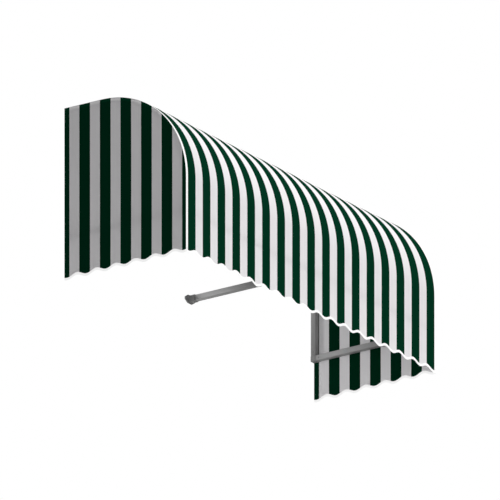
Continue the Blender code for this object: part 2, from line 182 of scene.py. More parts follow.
def striped_canvas(name, stripe, first_edge):
    """Canvas in dark and light stripes. first_edge is where a dark stripe starts, across the cloth."""
    finish, shader = new_finish(name, Roughness=0.9, Specular_IOR_Level=0.005)
    where = add_node(finish, "UVMap", {"uv_map": MAP_NAME}).outputs["UV"]
    axes = add_node(finish, "SeparateXYZ", links={"Vector": where}).outputs
    streak_size = (1 / STREAK_WIDTH, 1 / STREAK_LENGTH, 1)
    streak_place = add_node(finish, "Mapping", {"Scale": streak_size}, {"Vector": where}).outputs["Vector"]
    streaks = add_node(
        finish, "TexNoise", {"noise_dimensions": "2D", "Scale": 1.0, "Detail": 2.0}, {"Vector": streak_place}
    ).outputs["Fac"]
    wobble_size = {"noise_dimensions": "2D", "Scale": 1 / WOBBLE_LENGTH, "Detail": 1.0}
    wobble_noise = add_node(finish, "TexNoise", wobble_size, {"Vector": where}).outputs["Fac"]
    start = DARK_WIDER / 2 - first_edge - EDGE_WOBBLE / 2
    wobble = add_node(
        finish, "Math", {"operation": "MULTIPLY_ADD", 1: EDGE_WOBBLE, 2: start}, {0: wobble_noise}
    ).outputs[0]
    across = add_node(finish, "Math", {"operation": "ADD"}, {0: axes["X"], 1: wobble}).outputs[0]
    pairs = add_node(finish, "Math", {"operation": "MULTIPLY", 1: 1 / (2 * stripe)}, {0: across}).outputs[0]
    within = add_node(finish, "Math", {"operation": "FRACT"}, {0: pairs}).outputs[0]
    dark_share = (stripe + DARK_WIDER) / (2 * stripe)
    is_light = add_node(finish, "Math", {"operation": "GREATER_THAN", 1: dark_share}, {0: within}).outputs[0]
    greens = {"data_type": "RGBA", 6: GREEN_DEEP, 7: GREEN_LIGHT}
    whites = {"data_type": "RGBA", 6: WHITE_DEEP, 7: WHITE_LIGHT}
    dark = add_node(finish, "Mix", greens, {0: streaks}).outputs[2]
    light = add_node(finish, "Mix", whites, {0: streaks}).outputs[2]
    colour = add_node(finish, "Mix", {"data_type": "RGBA"}, {0: is_light, 6: dark, 7: light}).outputs[2]
    join(finish, colour, shader, "Base Color")
    yarns = []
    for axis in ("X", "Y"):
        turn = add_node(finish, "Math", {"operation": "MULTIPLY", 1: math.tau / YARN_DRAWN}, {0: axes[axis]})
        yarns.append(add_node(finish, "Math", {"operation": "SINE"}, {0: turn.outputs[0]}).outputs[0])
    weave = add_node(finish, "Math", {"operation": "MULTIPLY"}, dict(enumerate(yarns))).outputs[0]
    bump = add_node(finish, "Bump", {"Strength": 0.25, "Distance": WEAVE_DEPTH}, {"Height": weave})
    join(finish, bump.outputs["Normal"], shader, "Normal")
    through = add_node(finish, "BsdfTranslucent", links={"Color": colour}).outputs["BSDF"]
    cloth = add_node(finish, "MixShader", {0: SHARE_THROUGH}, {1: shader.outputs["BSDF"], 2: through})
    join(finish, cloth.outputs["Shader"], finish.node_tree.nodes["Material Output"], "Surface")
    return finish


PLAIN_EDGE = 0.0185
FRONT_STRIPES = 33
FRONT_STRIPE = 2 * (HALF_WIDTH - PLAIN_EDGE) / FRONT_STRIPES
WING_STRIPE = 0.0770
DARK_AT_WALL = 0.0356
front_canvas = striped_canvas("solution_dyed_acrylic_canvas_front", FRONT_STRIPE, PLAIN_EDGE - HALF_WIDTH)
wing_canvas = striped_canvas("solution_dyed_acrylic_canvas_wing", WING_STRIPE, DARK_AT_WALL - WING_STRIPE)
print(f"front stripes {FRONT_STRIPE * 1000:.1f} mm, wing stripes {WING_STRIPE * 1000:.1f} mm")

# %% [markdown]
# ## Material: white binding tape, its thread, and webbing
#
# The tape is woven polyester with fine ribs across it. Its emission is a painted glow, which makes it look
# brighter than the canvas even where it lies in shade. The ribs are painted into that glow as lighter and
# darker bands, or they would be lost in it. The thread is twisted polyester. The loops that go round the
# tubes are black polypropylene webbing, with coarser ribs. The pitch of the ribs is a length in metres on the
# cloth, and is larger than life where real ribs are too fine to show.

# %% Ribbed tape, thread and webbing
SHADED_THREAD = 0.90


def ribbed(name, colour, rib, depth, roughness, painted_glow=0.0):
    """A woven narrow cloth with ribs across it, every rib metres along its length. A glow, if given, is
    painted light: emission that keeps it bright in shade, with the ribs painted into it.
    """
    finish, shader = new_finish(name, Roughness=roughness, Specular_IOR_Level=0.2, Emission_Strength=painted_glow)
    where = add_node(finish, "UVMap", {"uv_map": MAP_NAME}).outputs["UV"]
    axes = add_node(finish, "SeparateXYZ", links={"Vector": where}).outputs
    turn = add_node(finish, "Math", {"operation": "MULTIPLY", 1: math.tau / rib}, {0: axes["Y"]}).outputs[0]
    ribs = add_node(finish, "Math", {"operation": "SINE"}, {0: turn}).outputs[0]
    fuzz_size = {"noise_dimensions": "2D", "Scale": 1 / (2 * rib), "Detail": 3.0}
    fuzz = add_node(finish, "TexNoise", fuzz_size, {"Vector": where}).outputs["Fac"]
    base = linear(colour)
    shaded = (*[c * SHADED_THREAD for c in base[:3]], 1.0)
    tone = add_node(finish, "Mix", {"data_type": "RGBA", 6: shaded, 7: base}, {0: fuzz}).outputs[2]
    join(finish, tone, shader, "Base Color")
    # The emission is painted light: a glow that keeps the tape white in shade. Its colour runs between two
    # whites with the ribs, so lighter and darker rib bands are painted into it.
    if painted_glow:
        between = add_node(finish, "MapRange", {"From Min": -1.0}, {"Value": ribs}).outputs["Result"]
        ends = {"data_type": "RGBA", 6: linear("#EDEDEC"), 7: linear("#FFFFFF")}
        join(finish, add_node(finish, "Mix", ends, {0: between}).outputs[2], shader, "Emission Color")
    bump = add_node(finish, "Bump", {"Strength": 0.4, "Distance": depth}, {"Height": ribs})
    join(finish, bump.outputs["Normal"], shader, "Normal")
    return finish


# The grey base and the glow of 0.76 together paint the tape white, also where it lies in shade.
white_tape = ribbed("white_polyester_binding_tape_painted_glow", "#969696", 0.0024, 0.0002, 0.8, painted_glow=0.76)
white_thread = ribbed("white_polyester_thread", "#CFCFCC", 0.0009, 0.0001, 0.55)
black_webbing = ribbed("black_polypropylene_webbing", "#1B1B1C", 0.0030, 0.0004, 0.7)
print("narrow cloths:", white_tape.name, white_thread.name, black_webbing.name)

# %% [markdown]
# ## Material: painted, plated and bare metal
#
# The tubes are extruded aluminium with a grey powder coat, which sets with a slight orange peel. The corner
# pieces are cast, so under the same coat their skin is grainy. The brackets and clips are zinc-plated
# steel, whose crystals show as patches that shine differently. The screws in them are stainless steel, and
# the bar that clamps the cloth is bare extruded aluminium with lines drawn along it by the die.

# %% Powder coat on tube and on castings
PATCH_SIZE = 0.12
DULL_PATCH = 0.90
GLOSS_CHANGE = 0.06


def powder_coat(name, colour, grain, depth, roughness):
    """A satin coat over bare metal. grain is the size of the bumps that it keeps, in metres."""
    finish, shader = new_finish(name, Roughness=roughness, Specular_IOR_Level=0.35)
    where = add_node(finish, "TexCoord").outputs["Object"]
    grain_size = {"Scale": 1 / grain, "Detail": 2.0}
    patch_size = {"Scale": 1 / PATCH_SIZE, "Detail": 3.0}
    grains = add_node(finish, "TexNoise", grain_size, {"Vector": where}).outputs["Fac"]
    patches = add_node(finish, "TexNoise", patch_size, {"Vector": where}).outputs["Fac"]
    base = linear(colour)
    dull = (*[c * DULL_PATCH for c in base[:3]], 1.0)
    tone = add_node(finish, "Mix", {"data_type": "RGBA", 6: dull, 7: base}, {0: patches}).outputs[2]
    join(finish, tone, shader, "Base Color")
    span = {"To Min": roughness - GLOSS_CHANGE, "To Max": roughness + GLOSS_CHANGE}
    satin = add_node(finish, "MapRange", span, {"Value": patches}).outputs["Result"]
    join(finish, satin, shader, "Roughness")
    bump = add_node(finish, "Bump", {"Strength": 0.35, "Distance": depth}, {"Height": grains})
    join(finish, bump.outputs["Normal"], shader, "Normal")
    return finish


tube_coat = powder_coat("grey_powder_coat_on_tube", "#A1A1A1", 0.004, 0.0002, 0.50)
cast_coat = powder_coat("grey_powder_coat_on_casting", "#989898", 0.0025, 0.0006, 0.60)
print("coats:", tube_coat.name, cast_coat.name)

# %% Zinc plate, stainless steel and bare aluminium
def bare_metal(name, colour, roughness, pattern, size, change):
    """A metal whose roughness varies by change, over a pattern of that size along X, Y and Z."""
    finish, shader = new_finish(name, Metallic=1.0, Base_Color=linear(colour))
    where = add_node(finish, "TexCoord").outputs["Object"]
    scale = tuple(1 / length for length in size)
    place = add_node(finish, "Mapping", {"Scale": scale}, {"Vector": where}).outputs["Vector"]
    texture = add_node(finish, pattern, {"Scale": 1.0}, {"Vector": place}).outputs[0]
    uneven = add_node(
        finish, "MapRange", {"To Min": roughness - change, "To Max": roughness + change}, {"Value": texture}
    ).outputs["Result"]
    join(finish, uneven, shader, "Roughness")
    bump = add_node(finish, "Bump", {"Strength": 0.15, "Distance": 0.0001}, {"Height": texture})
    join(finish, bump.outputs["Normal"], shader, "Normal")
    return finish


zinc_plate = bare_metal("zinc_plated_steel", "#A3A4A6", 0.46, "TexVoronoi", (0.006, 0.006, 0.006), 0.10)
stainless = bare_metal("stainless_steel", "#C4C4C2", 0.30, "TexNoise", (0.002, 0.002, 0.002), 0.06)
drawn_aluminium = bare_metal("drawn_aluminium", "#9C9D9F", 0.46, "TexNoise", (0.300, 0.0015, 0.0015), 0.10)
print("metals:", zinc_plate.name, stainless.name, drawn_aluminium.name)

# %% [markdown]
# ## How the cloth lies
#
# A flat cloth is cut, then bent over the frame without stretching, so each point keeps its distance along
# the cloth. That is how it is modelled too: a flat grid is made, and each of its points is moved to where
# that point of the cut cloth lies. Two small functions say where: one follows the section over the nose,
# the other gives the scalloped hem.

# %% Where a point of the cloth goes
def over_nose(distance, outside):
    """(y, z) of a point that far along the cloth from the wall, and a little outside its outer face."""
    if distance < TOP_RUN:
        return -distance, TOP + outside
    if distance < TOP_RUN + NOSE_RUN:
        angle = (distance - TOP_RUN) / NOSE_RADIUS
        radius = NOSE_RADIUS + outside
        return NOSE_Y - radius * math.sin(angle), NOSE_Z + radius * math.cos(angle)
    return -PROJECTION - outside, NOSE_Z - (distance - TOP_RUN - NOSE_RUN)


def scallop(along, middle):
    """How far the hem hangs below its mean at a place along it. It hangs lowest at the middle."""
    return SCALLOP_DEPTH * math.cos(math.tau * (along - middle) / SCALLOP_PITCH)


def smooth_step(value):
    value = min(max(value, 0.0), 1.0)
    return value * value * (3 - 2 * value)


CUT_LENGTH = TOP_RUN + NOSE_RUN + DROP_RUN
print("hem at the middle of the front:", round(HEM - scallop(0, 0), 4))

# %% [markdown]
# ## Laying a cloth
#
# One function lays every sheet and tape. It makes the grid, writes each point's place on the cut cloth into
# a map in metres, moves the point to its place on the awning, and lets a Solidify modifier give the cloth
# its thickness. The map is what the weave and the stripes read.

# %% A function that lays a cloth
def add_piece(name, bm, finish, smooth_angle=35):
    """Makes a piece of the bmesh at the origin, riding on the frame."""
    mesh = bpy.data.meshes.new(name)
    bm.to_mesh(mesh)
    bm.free()
    mesh.materials.append(finish)
    mesh.shade_smooth()
    mesh.set_sharp_from_angle(angle=math.radians(smooth_angle))
    piece = bpy.data.objects.new(name, mesh)
    bpy.context.scene.collection.objects.link(piece)
    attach(piece, "root")
    return piece


def lay(name, steps, flat, place, finish, thickness, turn_over=False, offset=-1.0):
    """Lays a cloth. flat(u, v) is a point of the cut cloth in metres, and place(u, v) is where it lies."""
    bm = bmesh.new()
    bmesh.ops.create_grid(bm, x_segments=steps[0], y_segments=steps[1], size=0.5)
    bmesh.ops.translate(bm, verts=bm.verts, vec=(0.5, 0.5, 0))
    cloth_map = bm.loops.layers.uv.new(MAP_NAME)
    for face in bm.faces:
        for loop in face.loops:
            loop[cloth_map].uv = flat(loop.vert.co.x, loop.vert.co.y)
    for vert in bm.verts:
        vert.co = place(vert.co.x, vert.co.y)
    if turn_over:
        bmesh.ops.reverse_faces(bm, faces=bm.faces)
    piece = add_piece(name, bm, finish, smooth_angle=60)
    shell = piece.modifiers.new("thickness", "SOLIDIFY")
    shell.thickness = thickness
    shell.offset = offset
    shell.use_even_offset = True
    return piece


# %% [markdown]
# ## The canopy
#
# The big cloth covers the top and the front in one piece. It is tight over the three bent tubes and gives
# by 2 mm between them, which softens its shading. Its lower end is cut in scallops and ends inside the
# folded tape.

# %% Lay the canopy
SLACK = 0.002
HELD_AT_WALL = 0.15
SCALLOPED_ZONE = 0.12
canopy_length = CUT_LENGTH + UNDER_TAPE


def canopy_flat(u, v):
    """Near the hem the rows are pulled down, so that the last one follows the scallops."""
    x = (u - 0.5) * 2 * HALF_WIDTH
    distance = v * canopy_length
    near_hem = smooth_step((distance - (canopy_length - SCALLOPED_ZONE)) / SCALLOPED_ZONE)
    return x, distance + scallop(x, 0) * near_hem


def canopy_place(u, v):
    x, distance = canopy_flat(u, v)
    held = smooth_step(distance / HELD_AT_WALL)
    dip = SLACK * held * math.sin(math.pi * x / HALF_WIDTH) ** 2
    return Vector((x, *over_nose(distance, -dip)))


canopy_cloth = lay(
    "canopy_cloth", (264, 100), canopy_flat, canopy_place, front_canvas,
    CLOTH_THICKNESS, turn_over=True,
)
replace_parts(canopy_cloth, "canopy")
print("canopy grid:", len(canopy_cloth.data.polygons), "faces")

# %% [markdown]
# ## The wings
#
# Each end is closed by a flat cloth whose top follows the canopy. Its columns are spaced by the angle round
# the nose, so the curved top edge stays round right down to the front.

# %% Lay the wings
SEAM_GAP = 0.0003
UNDER_CANOPY = CLOTH_THICKNESS + SEAM_GAP
STRAIGHT_SHARE = 0.22
WING_SLACK = 0.0012


def wing_column(u):
    """(distance from the wall, height of the cloth's upper edge) of a column of the wing."""
    if u < STRAIGHT_SHARE:
        distance = TOP_RUN * u / STRAIGHT_SHARE
    else:
        distance = TOP_RUN + NOSE_RUN * (u - STRAIGHT_SHARE) / (1 - STRAIGHT_SHARE)
    y, z = over_nose(distance, -UNDER_CANOPY)
    return -y, z


def wing_flat(u, v):
    out, upper = wing_column(u)
    lower = HEM - scallop(out, PROJECTION / 2) - UNDER_TAPE
    return out, upper + (lower - upper) * v


def lay_wing(side, word):
    def place(u, v):
        out, z = wing_flat(u, v)
        dip = WING_SLACK * math.sin(math.pi * out / PROJECTION) ** 2 * math.sin(math.pi * v) ** 2
        return Vector((side * (HALF_WIDTH - dip), -out, z))

    wing = lay(
        "wing_cloth_" + word, (120, 44), wing_flat, place, wing_canvas,
        CLOTH_THICKNESS, turn_over=side < 0,
    )
    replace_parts(wing, "wing_" + word)
    return wing


wings = {word: lay_wing(side, word) for side, word in ((-1, "left"), (1, "right"))}
print("wings:", [wing.name for wing in wings.values()])

# %% [markdown]
# ## The hem tape
#
# The scalloped hem is bound with a tape that is folded in half over the edge of the cloth. Its section is a
# narrow U: down the outside, round under the cloth, and up the inside. The same lay function makes it, with
# one direction of the grid going round the U and the other following the scallops.

# %% Lay the hem tapes
FOLD_RADIUS = 0.00075
FOLD_MIDDLE = -CLOTH_THICKNESS / 2
PAST_SIDE = 0.0007
SHORT_OF_FRONT = 0.0015
LEG = HEM_TAPE_HEIGHT - FOLD_RADIUS - TAPE_THICKNESS / 2
FOLD_RUN = math.pi * FOLD_RADIUS


def folded(v):
    """(distance outside the cloth's face, distance below the tape's upper edge) round the tape's section."""
    run = v * (2 * LEG + FOLD_RUN)
    if run < LEG:
        return FOLD_MIDDLE + FOLD_RADIUS, run
    if run < LEG + FOLD_RUN:
        angle = (run - LEG) / FOLD_RADIUS
        return FOLD_MIDDLE + FOLD_RADIUS * math.cos(angle), LEG + FOLD_RADIUS * math.sin(angle)
    return FOLD_MIDDLE - FOLD_RADIUS, 2 * LEG + FOLD_RUN - run


def lay_hem_tape(name, node, steps, start, end, middle, to_point, turn_over):
    """A folded tape along a hem. to_point(along, outside, z) turns a place on it into a point."""
    def flat(u, v):
        return v * (2 * LEG + FOLD_RUN), start + (end - start) * u

    def place(u, v):
        along = start + (end - start) * u
        outside, below = folded(v)
        return to_point(along, outside, HEM - scallop(along, middle) - below)

    tape = lay(
        name, (steps, 16), flat, place, white_tape, TAPE_THICKNESS,
        turn_over=turn_over, offset=0.0,
    )
    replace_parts(tape, node)
    return tape


def front_point(x, outside, z):
    return Vector((x, -PROJECTION - outside, z))


def wing_point(side):
    return lambda out, outside, z: Vector((side * (HALF_WIDTH + outside), -out, z))


front_end = HALF_WIDTH + PAST_SIDE
hem_tapes = {
    "front": lay_hem_tape(
        "hem_tape_front", "valance_binding_front", 264, -front_end, front_end, 0, front_point, True
    )
}
for side, word in ((-1, "left"), (1, "right")):
    hem_tapes[word] = lay_hem_tape(
        "hem_tape_" + word, "valance_binding_" + word, 90, 0.0, PROJECTION - SHORT_OF_FRONT,
        PROJECTION / 2, wing_point(side), side < 0,
    )
print("hem tapes:", [tape.name for tape in hem_tapes.values()])

# %% [markdown]
# ## The edge tape
#
# Where a wing meets the canopy, the raw edges are covered by a tape that lies flat on the canopy and just
# turns down over the side. Its section is an L, carried along the cloth from the wall over the nose to the
# hem.

# %% Lay the edge tapes
TURNED_DOWN = 0.0015
TAPE_LIFT = 0.0006
TURN_RADIUS = 0.0004
PUCKERED_EDGE = 0.003
END_GAP = 0.0002
END_ZONE = 0.10
EDGE_SECTION_RUN = EDGE_TAPE_WIDTH + TURNED_DOWN


def edge_section(v):
    """(distance in from the side, distance outside the canopy's face) across the edge tape."""
    run = v * EDGE_SECTION_RUN
    if run < EDGE_TAPE_WIDTH:
        puckered = TAPE_LIFT * (0.75 + 0.25 * smooth_step(run / PUCKERED_EDGE))
        return EDGE_TAPE_WIDTH - run, puckered
    return -TAPE_LIFT, TAPE_LIFT - TURN_RADIUS - (run - EDGE_TAPE_WIDTH)


def lay_edge_tape(side, word):
    """Its lower end is cut along the scallops, so that it meets the hem tape."""
    def flat(u, v):
        x = HALF_WIDTH - edge_section(v)[0]
        near_hem = smooth_step((u * CUT_LENGTH - (CUT_LENGTH - END_ZONE)) / END_ZONE)
        return v * EDGE_SECTION_RUN, u * (CUT_LENGTH - END_GAP) + scallop(x, 0) * near_hem

    def place(u, v):
        inwards, outside = edge_section(v)
        return Vector((side * (HALF_WIDTH - inwards), *over_nose(flat(u, v)[1], outside)))

    tape = lay(
        "edge_tape_" + word, (150, 20), flat, place, white_tape, TAPE_THICKNESS,
        turn_over=side > 0, offset=0.0,
    )
    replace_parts(tape, "edge_binding_" + word)
    return tape


edge_tapes = {word: lay_edge_tape(side, word) for side, word in ((-1, "left"), (1, "right"))}
print("edge tapes:", [tape.name for tape in edge_tapes.values()])

# %% [markdown]
# ## The stitching
#
# A sewing machine leaves a row of short stitches, 4.6 mm apart here, 2.5 mm in from the tape's edge. Each
# stitch is a small bar with its edges bevelled. It is sunk a little into the tape, as a tight thread is.
# The function takes the row as a path: a rule that gives a point and the direction that the surface faces.

# %% Sew the tapes
STITCH_LENGTH = 0.0032
STITCH_APART = 0.0046
STITCH_INSET = 0.0025
SHORT_OF_HEM = 0.006
SHORT_OF_CORNER = 0.004
FIRST_STITCH = 0.0007
THREAD = 0.0005


def sew(name, rows):
    """Stitches along rows, each (path, length). path(distance) gives (point, outward direction)."""
    bm = bmesh.new()
    for path, length in rows:
        for number in range(int(length / STITCH_APART)):
            start, outward = path(number * STITCH_APART + FIRST_STITCH)
            end = path(number * STITCH_APART + FIRST_STITCH + STITCH_LENGTH)[0]
            along = (end - start).normalized()
            sideways = outward.cross(along).normalized()
            turn = Matrix((along, sideways, along.cross(sideways))).transposed().to_4x4()
            size = Matrix.Diagonal((STITCH_LENGTH, THREAD, THREAD, 1))
            bmesh.ops.create_cube(bm, size=1, matrix=Matrix.Translation((start + end) / 2) @ turn @ size)
    bmesh.ops.bevel(
        bm, geom=bm.edges[:], offset=THREAD / 4, segments=1, profile=0.5, affect="EDGES", material=-1
    )
    bm.loops.layers.uv.new(MAP_NAME)
    return add_piece(name, bm, white_thread)


def hem_row(start, middle, to_point, outside, outward):
    """A row along a hem tape, at a distance outside the cloth's face."""
    def path(distance):
        along = start + distance
        return to_point(along, outside, HEM - scallop(along, middle) - STITCH_INSET), outward

    return path


OUTER_FACE = FOLD_MIDDLE + FOLD_RADIUS + TAPE_THICKNESS / 2
INNER_FACE = FOLD_MIDDLE - FOLD_RADIUS - TAPE_THICKNESS / 2
out = Vector((0, -1, 0))
front_rows = [
    (hem_row(-HALF_WIDTH, 0, front_point, OUTER_FACE, out), 2 * HALF_WIDTH),
    (hem_row(-HALF_WIDTH, 0, front_point, INNER_FACE, out), 2 * HALF_WIDTH),
]
hem_stitches = {"front": sew("hem_stitches_front", front_rows)}
for side, word in ((-1, "left"), (1, "right")):
    outward = Vector((side, 0, 0))
    wing_rows = [
        (hem_row(0.0, PROJECTION / 2, wing_point(side), face, outward), PROJECTION - SHORT_OF_CORNER)
        for face in (OUTER_FACE, INNER_FACE)
    ]
    hem_stitches[word] = sew("hem_stitches_" + word, wing_rows)


def edge_row(side, inwards):
    """A row along an edge tape, at a distance in from the canopy's side."""
    def path(distance):
        y, z = over_nose(distance, TAPE_LIFT + TAPE_THICKNESS / 2)
        below_y, below_z = over_nose(distance, 0)
        outward = Vector((0, y - below_y, z - below_z)).normalized()
        return Vector((side * (HALF_WIDTH - inwards), y, z)), outward

    return path


edge_stitches = {}
for side, word in ((-1, "left"), (1, "right")):
    insets = (STITCH_INSET, EDGE_TAPE_WIDTH - STITCH_INSET)
    rows = [(edge_row(side, inwards), CUT_LENGTH - SHORT_OF_HEM) for inwards in insets]
    edge_stitches[word] = sew("edge_stitches_" + word, rows)
all_stitches = (*hem_stitches.values(), *edge_stitches.values())
print("stitched faces:", sum(len(row.data.polygons) for row in all_stitches))

# %% [markdown]
# ## The cut cloths
#
# The canopy's cut is a rectangle as wide as the awning and as long as the run from the wall over the nose to
# the hem. A wing is cut from a rectangle, but its round top corner and the scallops leave less cloth than
# that.

# %% [markdown]
# ## Square tubes
#
# A square tube starts as a long cube. Its four long edges are bevelled to the corner radius, its two end
# faces are taken away, and Solidify gives the wall its thickness inwards. A bent tube goes on from there:
# the open end is spun through a quarter turn about the centre of the nose and then pulled straight down.

# %% Make the straight tubes
TUBE = 0.035
TUBE_WALL = 0.0016
TUBE_CORNER = 0.0028


def tube_skin(length):
    """The open outer skin of a square tube along +Z, from z = 0."""
    bm = bmesh.new()
    size = Matrix.Diagonal((TUBE, TUBE, length, 1))
    bmesh.ops.create_cube(bm, size=1, matrix=Matrix.Translation((0, 0, length / 2)) @ size)
    long_edges = [edge for edge in bm.edges if abs(edge.verts[0].co.z - edge.verts[1].co.z) > length / 2]
    bmesh.ops.bevel(
        bm, geom=long_edges, offset=TUBE_CORNER, segments=4, profile=0.5, affect="EDGES", material=-1
    )
    bm.normal_update()
    ends = [face for face in bm.faces if abs(face.normal.z) > 0.9]
    bmesh.ops.delete(bm, geom=ends, context="FACES_ONLY")
    return bm


def give_wall(piece, wall):
    shell = piece.modifiers.new("wall", "SOLIDIFY")
    shell.thickness = wall
    shell.offset = -1
    shell.use_even_offset = True


def middle_of(node):
    low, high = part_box(node)
    return (low + high) / 2


def straight_tube(name, node):
    """A tube with the length and place of a packed straight tube."""
    low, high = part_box(node)
    size = high - low
    axis = max(range(3), key=lambda i: size[i])
    bm = tube_skin(size[axis])
    bmesh.ops.translate(bm, verts=bm.verts, vec=(0, 0, -size[axis] / 2))
    direction = Vector([1.0 if i == axis else 0.0 for i in range(3)])
    turn = direction.to_track_quat("Z", "Y").to_matrix()
    bmesh.ops.rotate(bm, verts=bm.verts, cent=(0, 0, 0), matrix=turn)
    bmesh.ops.translate(bm, verts=bm.verts, vec=middle_of(node))
    piece = add_piece(name, bm, tube_coat)
    give_wall(piece, TUBE_WALL)
    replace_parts(piece, node)


straight = {
    "wall_upright_tube_left": "wall_upright_left", "wall_upright_tube_right": "wall_upright_right",
    "lower_arm_tube_left": "lower_arm_left", "lower_arm_tube_middle": "lower_arm_middle",
    "lower_arm_tube_right": "lower_arm_right", "head_bar_tube_left": "head_bar_left",
    "head_bar_tube_right": "head_bar_right", "front_bar_tube_left": "front_bar_left",
    "front_bar_tube_right": "front_bar_right",
}
for name, node in straight.items():
    straight_tube(name, node)
print("straight tubes:", len(straight))

# %% Bend the three bows
BEND_STEPS = 48


def bent_tube(name, node):
    """A tube that runs out level from the wall, round the nose and down to the front bar."""
    low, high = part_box(node)
    middle = (low + high) / 2
    centre_line = NOSE_RADIUS - (TOP - (high.z - TUBE / 2))
    bm = tube_skin(high.y - NOSE_Y)
    level = Vector((0, -1, 0)).to_track_quat("Z", "Y").to_matrix()
    bmesh.ops.rotate(bm, verts=bm.verts, cent=(0, 0, 0), matrix=level)
    bmesh.ops.translate(bm, verts=bm.verts, vec=(middle.x, high.y, high.z - TUBE / 2))
    open_ends = [edge for edge in bm.edges if edge.is_boundary]
    far_end = [edge for edge in open_ends if max(vert.co.y for vert in edge.verts) < NOSE_Y + TUBE]
    centre = (middle.x, NOSE_Y, high.z - TUBE / 2 - centre_line)
    bent = bmesh.ops.spin(
        bm, geom=far_end, cent=centre, axis=(1, 0, 0), dvec=(0, 0, 0),
        angle=math.radians(90), steps=BEND_STEPS, use_merge=False, use_duplicate=False,
    )["geom_last"]
    lower_end = [part for part in bent if isinstance(part, bmesh.types.BMEdge)]
    grown = bmesh.ops.extrude_edge_only(bm, edges=lower_end)["geom"]
    corners = [part for part in grown if isinstance(part, bmesh.types.BMVert)]
    bmesh.ops.translate(bm, verts=corners, vec=(0, 0, low.z - corners[0].co.z))
    bmesh.ops.recalc_face_normals(bm, faces=bm.faces)
    piece = add_piece(name, bm, tube_coat)
    give_wall(piece, TUBE_WALL)
    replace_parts(piece, node)
    return piece


bows = [bent_tube("bow_tube_" + word, "bow_" + word) for word in ("left", "middle", "right")]
print("bows:", [bow.name for bow in bows])

# %% [markdown]
# ## Cast corner pieces
#
# Tubes are joined by cast blocks with a hollow spigot, or plug, for each tube. The block is a cube a
# millimetre proud of the tubes, with its edges rounded by the mould. Each spigot is drawn out of the face
# that its tube meets: the face is inset to the spigot's size, pulled out, inset again by the wall and
# pushed back in.

# %% Cast the corner pieces
CUBE = 0.037
CAST_ROUND = 0.0022
SPIGOT = 0.0312
SPIGOT_LENGTH = 0.045
SPIGOT_WALL = 0.003
LEFT, RIGHT, OUT, UP = Vector((-1, 0, 0)), Vector((1, 0, 0)), Vector((0, -1, 0)), Vector((0, 0, 1))


def outermost(bm, direction):
    """The face that looks this way and lies furthest that way."""
    bm.normal_update()
    facing = [face for face in bm.faces if face.normal.dot(direction) > 0.99]
    return max(facing, key=lambda face: face.calc_center_median().dot(direction))


def pull(bm, face, by):
    """Extrudes one face by a vector and returns the new end face."""
    grown = bmesh.ops.extrude_discrete_faces(bm, faces=[face])["faces"]
    bmesh.ops.translate(bm, verts=grown[0].verts, vec=by)
    return grown[0]


def casting(name, node, centre, arms):
    bm = bmesh.new()
    bmesh.ops.create_cube(bm, size=CUBE)
    bmesh.ops.bevel(
        bm, geom=bm.edges[:], offset=CAST_ROUND, segments=3, profile=0.5, affect="EDGES", material=-1
    )
    for arm in arms:
        face = outermost(bm, arm)
        shoulder = (CUBE - SPIGOT) / 2 - CAST_ROUND
        bmesh.ops.inset_region(bm, faces=[face], thickness=shoulder, use_even_offset=True)
        end = pull(bm, face, arm * SPIGOT_LENGTH)
        bmesh.ops.inset_region(bm, faces=[end], thickness=SPIGOT_WALL, use_even_offset=True)
        pull(bm, end, -arm * (SPIGOT_LENGTH - SPIGOT_WALL))
    bmesh.ops.translate(bm, verts=bm.verts, vec=centre)
    piece = add_piece(name, bm, cast_coat)
    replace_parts(piece, node)


tube_x = middle_of("wall_upright_right").x
rear_y = middle_of("head_bar_right").y
front_y = middle_of("front_bar_right").y
arm_z = middle_of("lower_arm_right").z
joints = {}
for side, word in ((-1, "left"), (1, "right")):
    inwards = Vector((-side, 0, 0))
    joints["head_corner_" + word] = (Vector((side * tube_x, rear_y, 0)), (-UP, OUT, inwards))
    joints["rear_corner_" + word] = (Vector((side * tube_x, rear_y, arm_z)), (UP, OUT))
    joints["front_corner_" + word] = (Vector((side * tube_x, front_y, arm_z)), (UP, -OUT, inwards))
joints["head_tee"] = (Vector((0, rear_y, 0)), (LEFT, RIGHT, OUT))
joints["front_cross"] = (Vector((0, front_y, arm_z)), (LEFT, RIGHT, -OUT, UP))
for node, (centre, arms) in joints.items():
    casting(node + "_casting", node, centre, arms)
print("castings:", len(joints))

# %% [markdown]
# ## Screws
#
# Each tube is held in its casting by a pan-head screw with a six-lobed socket. The head is a short cone,
# its rim is rounded with a bevel, and the socket starts as an inset circle whose points are drawn in and
# out six times round before it is pushed down. These screws are painted with the frame. Those in the
# brackets, the clips, the foot and the clamp bar are bare stainless steel.

# %% Make the screws
HEAD_RADIUS = 0.00425
HEAD_HEIGHT = 0.0026
SHANK_RADIUS = 0.0021
SHANK_LENGTH = 0.013
SOCKET_RADIUS = 0.0019
SOCKET_DEPTH = 0.0013
RIM_ROUND = 0.0006
LOBE_DEPTH = 0.16
HEAD_TAPER = 0.86


